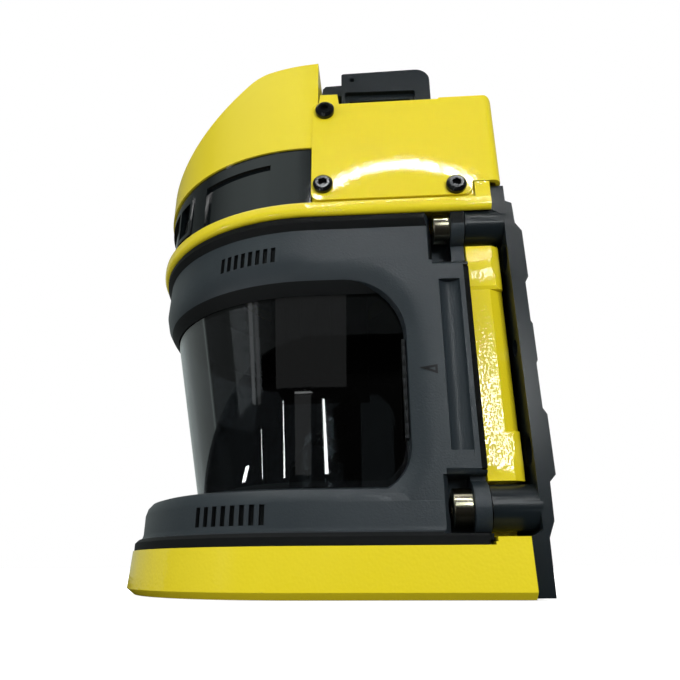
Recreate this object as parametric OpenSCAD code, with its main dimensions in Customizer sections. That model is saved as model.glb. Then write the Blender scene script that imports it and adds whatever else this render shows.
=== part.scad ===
// Safety laser scanner: two yellow castings, a front frame with a dark window,
// a spinning mirror behind it, and a rear bracket. Spin axis is Z, front is -Y.

/* [Body] */
// Half width of the castings, and radius of their round fronts
body_r = 57.5; // [56.5:0.5:60]
// Rear face of the castings, behind the spin axis
rear_y = 50.5; // [50:0.5:53]
// Thickness of the base slab
base_h = 11.2; // [10:0.2:12]
// Level of the underside of the head
head_z = 98.3; // [96:0.1:101]
// Thickness of the head's rounded ring
ring_h = 4.1; // [3.6:0.1:4.4]
// Level of the flat deck behind the cap
deck_z = 136.1; // [133:0.1:140]
// Wall thickness of the castings
cast_wall = 3.2; // [2.6:0.1:4]

/* [Cap] */
// Outer radius of the sloped cap
cap_r = 57; // [56.6:0.1:58]
// Level of the cap's lower edge
cap_z = 121.4; // [120:0.1:123]
// Level of the cap's top at its rear edge
cap_top = 153.9; // [153:0.1:155]
// Wall thickness of the cap and the camera band
cap_wall = 2.6; // [2:0.1:3.2]
// Outer radius of the gloss camera band
band_r = 56.4; // [56:0.1:57]

/* [Front frame] */
// Half width of the frame, and radius of its round front
frame_r = 55.1; // [54.6:0.1:55.4]
// Rear edge of the frame's side panels
frame_rear = 41.6; // [40:0.1:42]
// Wall thickness of the frame
frame_wall = 3.6; // [3:0.1:3.8]
// Lower edge of the scan opening
open_z0 = 23.1; // [22:0.1:24]
// Upper edge of the scan opening
open_z1 = 79.1; // [78:0.1:80]
// Rear edge of the scan opening
open_rear = 25.3; // [22:0.1:28]
// Number of short slots in each row
slot_count = 8; // [4:1:10]

/* [Window] */
// Outer radius of the window at its foot
win_r0 = 38.6; // [37:0.1:39]
// Outward slope of the window, radius gained for each millimetre of height
win_slope = 0.206; // [0.18:0.002:0.21]
// Wall thickness of the window
win_wall = 2.4; // [1.8:0.1:3]

/* [Rear bracket] */
// Front face of the bracket's main plate
plate_y = 53.8; // [53.4:0.1:54.4]
// Half width of the bracket
plate_w = 55.2; // [54:0.1:55.4]
// Radius of the four clamping arms
arm_r = 5.3; // [5:0.1:5.5]
// Distance of the arms and wall holes from the middle plane
arm_x = 50; // [49.5:0.1:50.2]
// Level of the two lower arms
arm_z0 = 19.6; // [19:0.1:20.5]
// Level of the two upper arms
arm_z1 = 96.4; // [95.8:0.1:96.4]
// Radius of the four large wall holes
wall_hole_r = 3.5; // [3.3:0.1:3.6]
// Radius of the two small wall holes
pin_hole_r = 2.25; // [2:0.05:2.4]
// Level of the middle of the wall hole pattern
wall_mid_z = 59.6; // [57:0.1:61]
// Distance between the large wall holes, up and down
wall_pitch = 53; // [48:1:54]

/* [Rotor] */
// Level where the beam leaves the mirror
scan_z = 51; // [49:0.5:52]
// Radius of the rotor's spindle
spindle_r = 2.46; // [2.44:0.01:2.49]
// Radius of the bearings' bores
bearing_bore = 2.5; // [2.5:0.01:2.52]
// Number of slots in the encoder disc
encoder_slots = 36; // [24:2:48]

/* [Hidden] */
$fn = 96;

paint = "#e0cf2e";
moulded = "#3c4144";
gloss = "#101214";
steel = "#b9bab2";
board = "#1f5a36";

ring_z = head_z + ring_h;         // top of the head's ring
side_x = body_r - 1.3;            // seat of the rear cover's wings
column_y = 36;                    // front of the rear column
column_x = 50.8;                  // half width of the column's waist
shoulder_y = 42.8;                // step at the rear of the base
shoulder_h = 1.7;
skirt_r = 50.8;                   // head's skirt inside the frame
skirt_z = 82;
upstand_r = 51.2;                 // base's upstand inside the frame
upstand_z = 17;
win_z0 = upstand_z + 1;           // foot of the window
win_z1 = skirt_z - 1;             // top of the window
flange_h = 2;
seal_h = 1;
clamp_shank_r = 2.45;
clamp_hole_r = 2.5;
seat_y = 39.3;                    // face the clamp screws' heads press on
collar_y = 43;                    // rear ends of the frame's clamp collars
collar_r = 6.2;
arm_y = 43.3;                     // front faces of the arms
column_rear = 52.4;               // back of the rear column
foot_y = 50.8;                    // bracket's foot and top strip, behind the castings
plate_rear = 57.3;
pad_y = 58.2;                     // pads that lie on the wall
sheet = 1.2;                      // sheet thickness of the rear cover
flap_y = 54;                      // outside of the cover's rear flap
block_x = 47.6;
block_z = 159.2;
block_y0 = 8.9;
block_y1 = 37.6;
cover_holes = [[4.5, 134], [4.1, 107.5], [41.3, 105.5]];
wall_rows = [wall_mid_z - wall_pitch / 2, wall_mid_z + wall_pitch / 2];
bracket_bolts = [[34, 6.2], [34, 101.8]];
bottom_holes = [[-30, -18], [30, -18], [-30, 30], [30, 30]];
waist_z = [37.6, 76.4];            // narrow middle of the rear column
pocket_x = 44.6;                  // floors of the clamp pockets
pocket_spans = [[13.7, 26.9], [83.8, 100.2]];
screw_r = 4.6;                    // heads of the clamp screws
seal_y = 32.2;                    // rear ends of the skirt and of the seals
head_y = 1;                       // front wall of the head's rear box
cap_screw_z = 128.5;
head_bolt_x = 30;
head_bolt_y = 43.4;
motor_r = 17;
motor_z1 = 24;
hub_z = 25.2;
optics_z = 64;
optics_y0 = -17;
optics_y1 = 15;
cam_angle = 41.5;                 // camera's turn from the front, each side

// ---- helpers ----------------------------------------------------------

// A corner of a path replaced by an arc of radius r in n steps
function fillet(a, p, b, r, n) =
    let (u = (a - p) / norm(a - p), v = (b - p) / norm(b - p),
         half = acos(u * v) / 2, reach = r / tan(half),
         c = p + (u + v) / norm(u + v) * r / sin(half),
         s = p + u * reach - c, e = p + v * reach - c,
         a0 = atan2(s[1], s[0]), turn = (atan2(e[1], e[0]) - a0 + 540) % 360 - 180)
    [for (i = [0:n]) c + r * [cos(a0 + turn * i / n), sin(a0 + turn * i / n)]];

// Path from [x, y] or [x, y, corner radius] points
function rounded(pts, n = 8) =
    [for (i = [0:len(pts) - 1])
        let (k = len(pts), p = pts[i], a = pts[(i + k - 1) % k], b = pts[(i + 1) % k])
        each (len(p) < 3 ? [p]
              : fillet([a[0], a[1]], [p[0], p[1]], [b[0], b[1]], p[2], n))];

function win_r(z) = win_r0 + (z - win_z0) * win_slope;

// Sweep of an [radius, height] profile round the front and along both sides
module d_sweep(rear) {
    rotate([0, 0, 180]) rotate_extrude(angle = 180) children();
    for (side = [0, 1]) mirror([side, 0, 0])
        translate([0, rear, 0]) rotate([90, 0, 0]) linear_extrude(rear) children();
}

// Solid with a round front, from the right half of its [x, z] section
module d_solid(rear, half) {
    rotate([0, 0, 180]) rotate_extrude(angle = 180) polygon(half);
    along(0, rear) polygon(concat([for (p = half) if (p[0] > 0) p],
        [for (i = [len(half) - 1:-1:0]) if (half[i][0] > 0) [-half[i][0], half[i][1]]]));
}

// Outline, seen from above, with a round front and straight sides
module d_plan(r, rear) {
    intersection() {
        circle(r);
        translate([-r, -r]) square([2 * r, r]);
    }
    translate([-r, 0]) square([2 * r, rear]);
}

// Extrusion of a [y, z] outline from x0 to x1
module across(x0, x1) {
    translate([x0, 0, 0]) rotate([90, 0, 90]) linear_extrude(x1 - x0) children();
}

// Extrusion of an [x, z] outline from y0 to y1
module along(y0, y1) {
    translate([0, y1, 0]) rotate([90, 0, 0]) linear_extrude(y1 - y0) children();
}

// The same solid on the right and mirrored on the left
module both_sides() {
    children();
    mirror([1, 0, 0]) children();
}

// Cylinder along +Y
module rod(x, y0, y1, z, r) {
    translate([x, y1, z]) rotate([90, 0, 0]) cylinder(r = r, h = y1 - y0);
}

// Socket head screw with its head at the origin and its shank along -Z
module socket_screw(head_r, head_h, shank_r, shank_h, key_r) {
    difference() {
        union() {
            cylinder(r = head_r, h = head_h - 0.3);
            translate([0, 0, head_h - 0.3]) cylinder(r1 = head_r, r2 = head_r - 0.3, h = 0.3);
            translate([0, 0, -shank_h]) cylinder(r = shank_r, h = shank_h + 0.5);
        }
        translate([0, 0, head_h * 0.45]) cylinder(r = key_r, h = head_h, $fn = 6);
    }
}

// ---- base --------------------------------------------------------------

module base_housing() {
    color(paint) difference() {
        union() {
            d_solid(rear_y, [[0, 0], [body_r - 1.6, 0], [body_r + 0.5, 1.6],
                             [body_r, base_h], [0, base_h]]);
            translate([-body_r, shoulder_y, base_h])
                cube([2 * body_r, rear_y - shoulder_y, shoulder_h]);
            d_sweep(column_y) polygon([[upstand_r - cast_wall, base_h], [upstand_r, base_h],
                                       [upstand_r, upstand_z],
                                       [upstand_r - cast_wall, upstand_z]]);
            rear_column();
        }
        base_pocket();
        both_sides() {
            // room for the frame's clamp pockets and collars
            for (span = pocket_spans) translate([pocket_x - 1.8, seal_y, span[0] - 1.8])
                cube([20, collar_y + 0.3 - seal_y, span[1] - span[0] + 3.4]);
            // room for the arms
            translate([43.8, 42, base_h + shoulder_h]) cube([20, 20, 25.6 - base_h - shoulder_h]);
            translate([43.8, 42, 89.5]) cube([20, 20, 20]);
            // slanted rear corners of the column, further in at its waist
            translate([0, 0, arm_z0]) linear_extrude(90)
                polygon([[52.6, 48.6], [56, 48.6], [56, 53.1], [49.6, 53.1]]);
            translate([0, 0, waist_z[0]]) linear_extrude(waist_z[1] - waist_z[0])
                polygon([[50.9, 48.7], [56, 48.7], [56, 53.1], [48.1, 53.1]]);
            rod(bracket_bolts[0][0], 46.8, 60, bracket_bolts[0][1], 2.05);
        }
        for (x = [-head_bolt_x, head_bolt_x])
            translate([x, head_bolt_y, 84]) cylinder(r = 2.05, h = 20);
        // cable well inside the column
        translate([-22, column_y + 3, upstand_z]) cube([44, 8, 90]);
        translate([-15, column_y + 3, 4]) cube([30, 5, 20]);
    }
}

module rear_column() {
    side = [[51.8, base_h], [51.8, 30.3], [51.3, 31.9], [51.3, 36.6], [column_x, waist_z[0]],
            [column_x, waist_z[1]], [51.3, 77.3], [51.3, 80.2], [51.8, 81.8], [51.8, 85.2],
            [51.4, 86.2], [51.4, head_z]];
    module outline() {
        polygon(concat(side, [for (i = [len(side) - 1:-1:0]) [-side[i][0], side[i][1]]]));
    }
    along(column_y, rear_y) outline();
    along(rear_y - 1, column_rear) intersection() {
        outline();
        translate([-60, 15.2]) square([120, 81.4]);
    }
}

module base_pocket() {
    translate([0, 0, -1]) linear_extrude(3) d_plan(44, 38);
    translate([0, 0, 1.5]) linear_extrude(6.2) d_plan(40, 34);
    cylinder(r = 6, h = 40);
    for (p = bottom_holes) translate([p[0], p[1], 2]) cylinder(r = 1.55, h = 8);
}

module bottom_plate() {
    color(moulded) difference() {
        linear_extrude(2) d_plan(43.7, 37.7);
        for (p = bottom_holes) translate([p[0], p[1], -1]) {
            cylinder(r = 1.7, h = 5);
            cylinder(r = 3, h = 2);
        }
    }
}

module bottom_screws() {
    color(steel) for (p = bottom_holes)
        translate([p[0], p[1], 1]) rotate([180, 0, 0]) difference() {
            union() {
                cylinder(r = 2.8, h = 0.8);
                translate([0, 0, -6]) cylinder(r = 1.5, h = 6.4);
            }
            translate([0, 0, 0.3]) cylinder(r = 1, h = 2, $fn = 6);
        }
}

// ---- head --------------------------------------------------------------

module head_housing() {
    color(paint) difference() {
        union() {
            d_solid(rear_y, rounded([[0, head_z], [body_r + 0.1, head_z, 1.7],
                                     [body_r + 0.1, ring_z, 1.1], [0, ring_z]], 5));
            d_sweep(seal_y) polygon([[skirt_r - cast_wall, skirt_z], [skirt_r, skirt_z],
                                       [skirt_r, head_z + 1], [skirt_r - cast_wall, head_z + 1]]);
            head_box();
        }
        translate([0, -4, head_z - 5]) cylinder(r = 27, h = 20);
        both_sides() {
            // room above the upper arms and collars
            translate([pocket_x - 1.8, seal_y, head_z - 1]) cube([12.9, 30, 4.8]);
            for (h = cover_holes) translate([side_x - 6, h[0], h[1]]) rotate([0, 90, 0])
                cylinder(r = 1.5, h = 10);
            rod(bracket_bolts[1][0], 46.8, 60, bracket_bolts[1][1], 2.05);
            translate([head_bolt_x, head_bolt_y, head_z - 1]) cylinder(r = 2.25, h = 20);
        }
        translate([-20, 40, head_z - 1]) cube([40, 6, 12]);
        // cable hole under the connector block
        translate([-16, 14, deck_z - 8]) cube([32, 16, 20]);
        // screws that hold the cap
        for (x = [-30, 30]) rod(x, -1, 6, cap_screw_z, 1.5);
    }
}

module head_box() {
    difference() {
        union() {
            translate([-side_x, head_y, ring_z - 1])
                cube([2 * side_x, rear_y - head_y, deck_z - ring_z + 1]);
            // flush corner below and behind the cover's wing
            translate([-body_r, 46.4, ring_z - 1]) cube([2 * body_r, rear_y - 46.4, 5.2]);
        }
        translate([-side_x + cast_wall, head_y + cast_wall, ring_z + 1.8])
            cube([2 * side_x - 2 * cast_wall, rear_y - head_y - 2 * cast_wall,
                  deck_z - ring_z - 1.8 - cast_wall]);
        // wiring window through the front cross wall
        translate([-24, -1, 108]) cube([48, 8, 12]);
    }
    // bosses of the cover's screws
    both_sides() for (h = cover_holes)
        translate([side_x - 8, max(h[0] - 3.2, head_y), h[1] - 3.2])
            cube([7, 6.4, min(6.4, deck_z - h[1] + 3.2)]);
}

module head_bolts() {
    color(steel) for (x = [-head_bolt_x, head_bolt_x])
        translate([x, head_bolt_y, ring_z + 1.8]) socket_screw(3.5, 4, 2, 17, 1.7);
}

// ---- cap and camera band -------------------------------------------------

// Side view of the cap, drawn in by the distance d
module cap_side(d) {
    polygon(rounded([[-70, 119.5 - d], [-16.6, 152.4 - d, 16 - d], [2.3 - d, cap_top - d],
                     [2.3 - d, 137.8], [0.7 - d, 136.2], [0.7 - d, cap_z - 1],
                     [-70, cap_z - 1]], 12));
}

module top_cap() {
    color(paint) difference() {
        intersection() {
            translate([0, 0, cap_z]) linear_extrude(40) d_plan(cap_r, 10);
            across(-60, 60) cap_side(0);
        }
        intersection() {
            translate([0, 0, cap_z - 1]) linear_extrude(40) d_plan(cap_r - cap_wall, 10);
            across(-60, 60) cap_side(cap_wall);
        }
        for (x = [-30, 30]) rod(x, -4, 6, cap_screw_z, 1.7);
    }
}

module cap_screws() {
    color(steel) for (x = [-30, 30]) translate([x, head_y + cast_wall, cap_screw_z])
        rotate([-90, 0, 0]) socket_screw(2.8, 2.2, 1.45, 6, 1.2);
}

module camera_band() {
    z0 = ring_z;
    lens_z = (ring_z + 117) / 2;
    color(gloss) difference() {
        union() {
            rotate([0, 0, 180]) rotate_extrude(angle = 180)
                polygon([[band_r - cap_wall, z0], [band_r, z0], [band_r, cap_z],
                         [band_r - cap_wall, cap_z]]);
            both_sides() translate([band_r - cap_wall, 0, z0])
                cube([cap_wall, 0.4, cap_z - z0]);
            // raised bezels of the camera windows
            for (s = [-1, 1]) rotate([0, 0, -90 + s * cam_angle - 4.6])
                rotate_extrude(angle = 9.2) translate([band_r - 1.5, z0 + 1.2])
                    square([2, 13.6]);
        }
        // long shallow panels on both flanks, under a brow
        for (s = [0, 1]) mirror([s, 0, 0]) rotate([0, 0, -36.5])
            rotate_extrude(angle = 24.5) translate([band_r - 1.1, z0 - 1])
                square([3, 117.2 - z0 + 1]);
        for (s = [0, 1]) mirror([s, 0, 0]) rotate([0, 0, -90])
            rotate_extrude(angle = 35.5) translate([band_r - 1.1, z0 - 1])
                square([3, 117.2 - z0 + 1]);
        // camera windows
        for (s = [-1, 1]) rotate([0, 0, -90 + s * cam_angle - 3.4])
            rotate_extrude(angle = 6.8) translate([band_r - 1.4, z0 + 2.6])
                square([4, 10.8]);
        // bores for the lens barrels
        for (s = [-1, 1]) rotate([0, 0, s * cam_angle])
            translate([0, -band_r + 1, lens_z]) rotate([-90, 0, 0])
                cylinder(r = 4.3, h = 6);
    }
}

// Camera on the right: a lens barrel on a cube that stands on the board
module camera(turn) {
    lens_z = (ring_z + 117) / 2;
    rotate([0, 0, turn]) translate([0, -band_r + 1.6, lens_z]) rotate([-90, 0, 0])
        difference() {
            union() {
                cylinder(r = 4.2, h = 5);
                translate([0, 0, 3]) cylinder(r = 5, h = 5);
                translate([-6, -6, 7]) cube([12, 9.3, 7]);
            }
            translate([0, 0, -1]) cylinder(r1 = 3.8, r2 = 2.4, h = 2.6);
        }
}

module camera_right() color("#202326") camera(cam_angle);

module camera_left() color("#202326") camera(-cam_angle);

module camera_board() {
    z = ring_z + 2.4;
    color(board) difference() {
        union() {
            translate([0, 0, z]) linear_extrude(1.6) d_plan(46.4, 0.3);
            for (a = [-60, 0, 60]) rotate([0, 0, a])
                translate([0, -42, ring_z]) cylinder(r = 2.5, h = z - ring_z + 0.5);
        }
        translate([0, -4, z - 1]) cylinder(r = 28, h = 4);
    }
}

// ---- rear cover and connector block --------------------------------------

// Outline of the cover's side wings
module cover_side() {
    polygon(rounded([[0.7, 102.7, 2.4], [45.8, 102.7, 2.4], [46, 106.9], [flap_y, 106.9],
                     [flap_y, 137.3, 2.4], [38.6, 137.3], [38.2, 136.8], [8.7, 136.8],
                     [8.2, 140.5], [3, 140.6], [2.7, 137.6], [0.7, 135.4]], 6));
}

module rear_cover() {
    color(paint) difference() {
        union() {
            intersection() {
                translate([0, 0, 100]) linear_extrude(42) difference() {
                    polygon(rounded([[-body_r, 0], [body_r, 0], [body_r, flap_y, 2.4],
                                     [-body_r, flap_y, 2.4]], 6));
                    polygon(rounded([[-body_r + sheet, -1], [body_r - sheet, -1],
                                     [body_r - sheet, flap_y - sheet, 1.2],
                                     [-body_r + sheet, flap_y - sheet, 1.2]], 6));
                }
                across(-60, 60) cover_side();
            }
            // top flap over the rear of the deck
            translate([-body_r + 1, 38.6, deck_z]) cube([2 * body_r - 2, 14.4, sheet]);
        }
        both_sides() for (h = cover_holes)
            translate([side_x - 1, h[0], h[1]]) rotate([0, 90, 0]) cylinder(r = 1.7, h = 5);
    }
}

// Three pan head screws of the cover's right wing
module cover_screws() {
    for (h = cover_holes) translate([body_r, h[0], h[1]]) rotate([0, 90, 0]) difference() {
        union() {
            cylinder(r = 2.8, h = 1.2);
            translate([0, 0, 1.2]) cylinder(r1 = 2.8, r2 = 2, h = 0.7);
            translate([0, 0, -6.5]) cylinder(r = 1.45, h = 7);
        }
        translate([0, 0, 0.6]) cylinder(r = 1.35, h = 2, $fn = 6);
    }
}

module cover_screws_right() color(gloss) cover_screws();

module cover_screws_left() color(gloss) mirror([1, 0, 0]) cover_screws();

module connector_block() {
    y0 = block_y0;
    color(moulded) difference() {
        union() {
            across(-block_x, block_x) polygon(rounded([[y0, deck_z], [block_y1, deck_z],
                [block_y1, block_z, 4.6], [y0, block_z - 0.4, 0.8]], 8));
            // tongue that covers the lead to the cap
            across(-block_x + 2, block_x - 2) polygon([[2.4, 152.6], [2.6, 154.7], [3.6, 155.8],
                [y0 + 1, 156], [y0 + 1, 151.4], [3.2, 151.6]]);
        }
        // side recesses with a ledge
        both_sides() {
            across(block_x - 1.6, block_x + 1) polygon(rounded([[y0 + 1.1, 137.5],
                [y0 + 23.8, 137.5], [y0 + 23.8, 150.4, 0.8], [y0 + 1.1, 150.9, 0.8]], 4));
            across(block_x - 6, block_x) translate([y0 + 2.6, 139]) square([19.6, 9.4]);
            translate([block_x - 3, 12.4, 156]) rotate([0, 90, 0]) cylinder(r = 0.8, h = 5);
        }
        // inside
        translate([-38, y0 + 2.4, deck_z - 1])
            cube([76, block_y1 - y0 - 4.8, block_z - deck_z - 2]);
        // seats of the cable sockets
        for (x = [-18, 18]) rod(x, block_y1 - 6, block_y1 + 1, 147.6, 5.3);
    }
}

module cable_sockets() {
    y1 = block_y1;
    color(steel) for (x = [-18, 18]) difference() {
        union() {
            rod(x, y1 - 2.4, y1 + 9, 147.6, 6);
            rod(x, y1 - 2.4, y1 + 9, 147.6, 5.2);
            rod(x, y1, y1 + 1.8, 147.6, 8.4);
        }
        difference() {
            rod(x, y1 - 3, y1, 147.6, 8);
            rod(x, y1 - 4, y1 + 1, 147.6, 5.2);
        }
        rod(x, y1 + 1, y1 + 10, 147.6, 4.6);
    }
}

module socket_pins() {
    y1 = block_y1;
    color("#c9a24a") for (x = [-18, 18]) for (a = [0:90:270])
        translate([x, 0, 147.6]) rotate([0, a, 0]) rod(3.1, y1 + 1, y1 + 7, 0, 0.5);
}

// ---- front frame, window and seals ----------------------------------------

// Side view of the scan opening, grown by g
module opening(g, n = 14) {
    polygon(rounded([[-70, open_z0 - g], [open_rear + g, open_z0 - g, 11 + g],
                     [open_rear + g, open_z1 + g, 16 + g], [-70, open_z1 + g]], n));
}

module lower_band() {
    d_sweep(frame_rear) polygon([[frame_r - frame_wall, base_h + 0.1],
        [body_r - 0.3, base_h + 0.1], [body_r - 0.3, 13.2], [body_r - 1.2, 14.1],
        [frame_r + 0.3, 14.5], [frame_r, 15.6], [frame_r, 20.8], [frame_r - 0.5, 22.6],
        [frame_r - 1.6, 23.9], [frame_r - 3.2, 24.4], [win_r(24.4) + 0.4, 24.6],
        [win_r(21.4) + 0.4, 21.4], [frame_r - frame_wall, 21.4]]);
}

module upper_band() {
    d_sweep(frame_rear) polygon([[win_r(76.2) + 0.3, 76.2], [frame_r - 1.9, 79.6], [frame_r - 0.7, 81.8],
        [frame_r, 85], [frame_r - 0.3, 94.6], [frame_r + 0.3, 95.3], [frame_r + 1.1, 96.4],
        [frame_r + 1.2, 97.6], [frame_r + 0.9, head_z - 0.1], [frame_r - frame_wall, head_z - 0.1],
        [frame_r - frame_wall, 80.2], [win_r(78.2) + 0.3, 78.2]]);
}

// Right side panel with the return wall behind the opening
module side_panel() {
    lip = [[3.8, 0], [1.9, 0.5], [0.7, 2.7], [0, 5.9]];
    difference() {
        union() {
            across(frame_r - frame_wall, frame_r)
                translate([0, 21]) square([frame_rear, 65]);
            across(40, frame_r - 1) translate([0, 21.4]) square([frame_rear, 57.6]);
        }
        across(30, 70) opening(0);
        // room for the sloping window and for the column
        translate([0, frame_rear + 1, 0]) rotate([90, 0, 0]) linear_extrude(60)
            polygon([[0, 0], [win_r(0) + 0.4, 0], [win_r(79) + 0.3, 79],
                     [win_r(79) + 0.3, 100], [0, 100]]);
        // softened edge round the opening, the same as the upper band's lip
        for (k = [0:len(lip) - 2]) hull() {
            across(frame_r - lip[k][0], frame_r - lip[k][0] + 0.01) opening(lip[k][1], 12);
            across(frame_r - lip[k + 1][0], frame_r - lip[k + 1][0] + 0.01)
                opening(lip[k + 1][1], 12);
        }
    }
}

module slot_row(z, lead, pitch) {
    for (i = [0:slot_count - 1]) rotate([0, 0, -lead - i * pitch])
        translate([frame_r - 1, -0.65, z]) cube([3, 1.3, 4.7]);
}

module window_frame() {
    color(moulded) difference() {
        union() {
            difference() {
                union() {
                    lower_band();
                    upper_band();
                    both_sides() side_panel();
                }
                // room for the column of the base
                translate([-52.1, column_y - 0.4, 0]) cube([104.2, 20, 110]);
            }
            // boxes round the clamp pockets
            both_sides() {
                for (span = pocket_spans) translate([pocket_x - 1.4, seal_y + 0.4, span[0] - 1.4])
                    cube([frame_r - pocket_x + 0.9, collar_y - seal_y - 0.4,
                          min(span[1] + 1, head_z - 0.2) - span[0] + 1.4]);
            }
        }
        both_sides() {
            for (z = [arm_z0, arm_z1]) rod(arm_x, 30, 50, z, clamp_hole_r);
            // finger groove along the rear of the panel, with a small step below it
            translate([frame_r + 0.9, 37.6, 32.5]) cylinder(r = 2.9, h = 45.4);
            translate([frame_r - 0.3, 35.4, 31]) cube([2, 4.9, 2]);
            // pockets of the clamp screws
            for (span = pocket_spans)
                translate([0, 0, span[0]]) linear_extrude(span[1] - span[0])
                    polygon([[frame_r + 3, 31], [frame_r - 1, 33], [51.5, 33.9],
                             [pocket_x, 34.1], [pocket_x, seat_y + 0.1],
                             [arm_x + 0.4, seat_y + 0.1],
                             [arm_x + 0.4, collar_y + 1], [frame_r + 3, collar_y + 1]]);
            // softened upper and lower edges of the pockets
            for (edge = [[pocket_spans[0][1], 1], [pocket_spans[1][0], -1]])
                along(33.4, collar_y + 1) translate([frame_r, edge[0]])
                    polygon([[-2, 0], [-1.1, 0.3 * edge[1]], [-0.1, 1.3 * edge[1]],
                             [1.5, 2 * edge[1]], [1.5, -edge[1]], [-2, -edge[1]]]);
            slot_row(85.2, 10.6, 2.45);
            slot_row(15.9, 10.6, 2.7);
        }
    }
    color(moulded) both_sides() for (z = [arm_z0, arm_z1]) clamp_collar(z);
}

// Round collar at the rear of a clamp pocket, where the arm meets the frame
module clamp_collar(z) {
    difference() {
        intersection() {
            rod(arm_x, seat_y, collar_y - 0.1, z, collar_r);
            translate([pocket_x - 1, 30, 0]) cube([20, 20, head_z - 0.3]);
        }
        rod(arm_x, 30, 50, z, clamp_hole_r);
    }
}

module scan_window() {
    color(gloss) d_sweep(seal_y - 0.2) polygon([
        [win_r(win_z0) - win_wall, win_z0], [upstand_r, win_z0], [upstand_r, win_z0 + flange_h],
        [win_r(win_z0 + flange_h), win_z0 + flange_h],
        [win_r(win_z1 - flange_h), win_z1 - flange_h], [skirt_r, win_z1 - flange_h],
        [skirt_r, win_z1], [win_r(win_z1) - win_wall, win_z1]]);
}

module window_seal() {
    color("#17191a") {
        for (z = [upstand_z, skirt_z - seal_h]) translate([0, 0, z])
            d_sweep(seal_y) polygon([[upstand_r - cast_wall, 0], [upstand_r - 0.4, 0],
                                       [upstand_r - 0.4, seal_h], [upstand_r - cast_wall, seal_h]]);
        // pads between the window's rear ends and the column
        for (s = [0, 1]) mirror([s, 0, 0]) translate([0, column_y, 0]) rotate([90, 0, 0])
            linear_extrude(column_y - seal_y + 0.2) polygon([[win_r(20) - win_wall, 20], [win_r(20), 20],
                [win_r(77), 77], [win_r(77) - win_wall, 77]]);
    }
}

// Strips let into the return walls beside the window
module edge_strips() {
    color("#141617") both_sides()
        translate([frame_r - 6, open_rear - 0.9, 36]) cube([3.3, 0.9, 26]);
}

module side_seals() {
    z0 = pocket_spans[0][1] + 1.4;
    color("#17191a") both_sides() translate([52, frame_rear, z0])
        cube([2.2, 1.5, pocket_spans[1][0] - 1.8 - z0]);
}

module clamp_screws() {
    color(steel) both_sides() for (z = [arm_z0, arm_z1])
        translate([arm_x, seat_y, z]) rotate([90, 0, 0])
            socket_screw(screw_r, 4.8, clamp_shank_r, plate_y - seat_y, 2.2);
}

// ---- rear bracket -----------------------------------------------------------

module rear_bracket() {
    color(moulded) difference() {
        union() {
            // plate with stepped pads on its rear face
            across(-plate_w, plate_w) polygon([[foot_y, 0.3], [54.8, 0.3], [55, 12.6],
                [56.5, 16.2], [56.7, 24.8], [pad_y, 26.4], [pad_y, 40.6], [plate_rear, 42.2],
                [plate_rear, 53.6], [57.7, 54.4], [57.7, 64.2], [plate_rear, 65],
                [plate_rear, 76], [pad_y, 77.6], [pad_y, 91.6], [56.6, 94.2], [56.4, 100.6],
                [54.7, 101.4], [54.7, 106.4], [foot_y, 106.4], [foot_y, 98.6],
                [plate_y, 97.2], [plate_y, 14.4], [foot_y, 12.7]]);
            both_sides() for (z = [arm_z0, arm_z1]) {
                rod(arm_x, arm_y, plate_y + 0.6, z, arm_r);
                // web that ties the arm to the plate
                translate([arm_x - 2.6, plate_y - 2.6, z - 3.4]) rotate([0, 0, 45])
                    cube([3.7, 3.7, 6.8]);
            }
        }
        both_sides() {
            for (z = [arm_z0, arm_z1]) rod(arm_x, 40, plate_y + 2, z, clamp_hole_r);
            for (z = wall_rows) {
                rod(arm_x, 40, 60, z, wall_hole_r);
                translate([arm_x, plate_y - 0.1, z]) rotate([-90, 0, 0])
                    cylinder(r1 = wall_hole_r + 0.7, r2 = wall_hole_r, h = 0.7);
            }
            rod(arm_x, 40, 60, wall_mid_z, pin_hole_r);
            for (b = bracket_bolts) {
                rod(b[0], 40, 60, b[1], 2.2);
                rod(b[0], 53.2, 60, b[1], 4);
            }
        }
        // shallow panel in the middle of the rear face, crossed by ribs
        difference() {
            translate([-36, plate_rear - 1.6, 24]) cube([72, 5, 66]);
            for (x = [-18, 0, 18]) translate([x - 1.2, 50, 20]) cube([2.4, plate_rear - 50, 74]);
        }
    }
}

module bracket_screws() {
    color(steel) both_sides() for (b = bracket_bolts)
        translate([b[0], 53.2, b[1]]) rotate([-90, 0, 0])
            socket_screw(3.8, 1.3, 2, 6, 1.25);
}

module rear_gasket() {
    color("#17191a") along(column_rear, plate_y) difference() {
        translate([-43, 15.4]) square([86, 81]);
        translate([-38.6, 19.8]) square([77.2, 72.2]);
    }
}

// ---- rotor and optics ---------------------------------------------------------

module motor_stator() {
    color("#8d9194") difference() {
        union() {
            translate([0, 0, base_h]) cylinder(r = motor_r, h = 2.4);
            translate([0, 0, base_h]) cylinder(r = motor_r - 3, h = motor_z1 - base_h);
            for (a = [0:30:330]) rotate([0, 0, a]) translate([motor_r - 5, -1.5, base_h])
                cube([4, 3, motor_z1 - base_h - 1]);
        }
        translate([0, 0, base_h - 1]) cylinder(r = 5, h = 30);
        difference() {
            translate([0, 0, 17]) cylinder(r = 9, h = 3);
            translate([0, 0, 16]) cylinder(r = 5.6, h = 5);
        }
    }
}

module bearing(z) {
    color(steel) difference() {
        translate([0, 0, z]) cylinder(r = 5, h = 3.2);
        translate([0, 0, z - 1]) cylinder(r = bearing_bore, h = 6);
        for (s = [-0.1, 2.8]) translate([0, 0, z + s]) difference() {
            cylinder(r = 4.3, h = 0.5);
            translate([0, 0, -1]) cylinder(r = 3.2, h = 3);
        }
    }
}

module lower_bearing() bearing(base_h + 1.2);

module upper_bearing() bearing(motor_z1 - 3.6);

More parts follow.
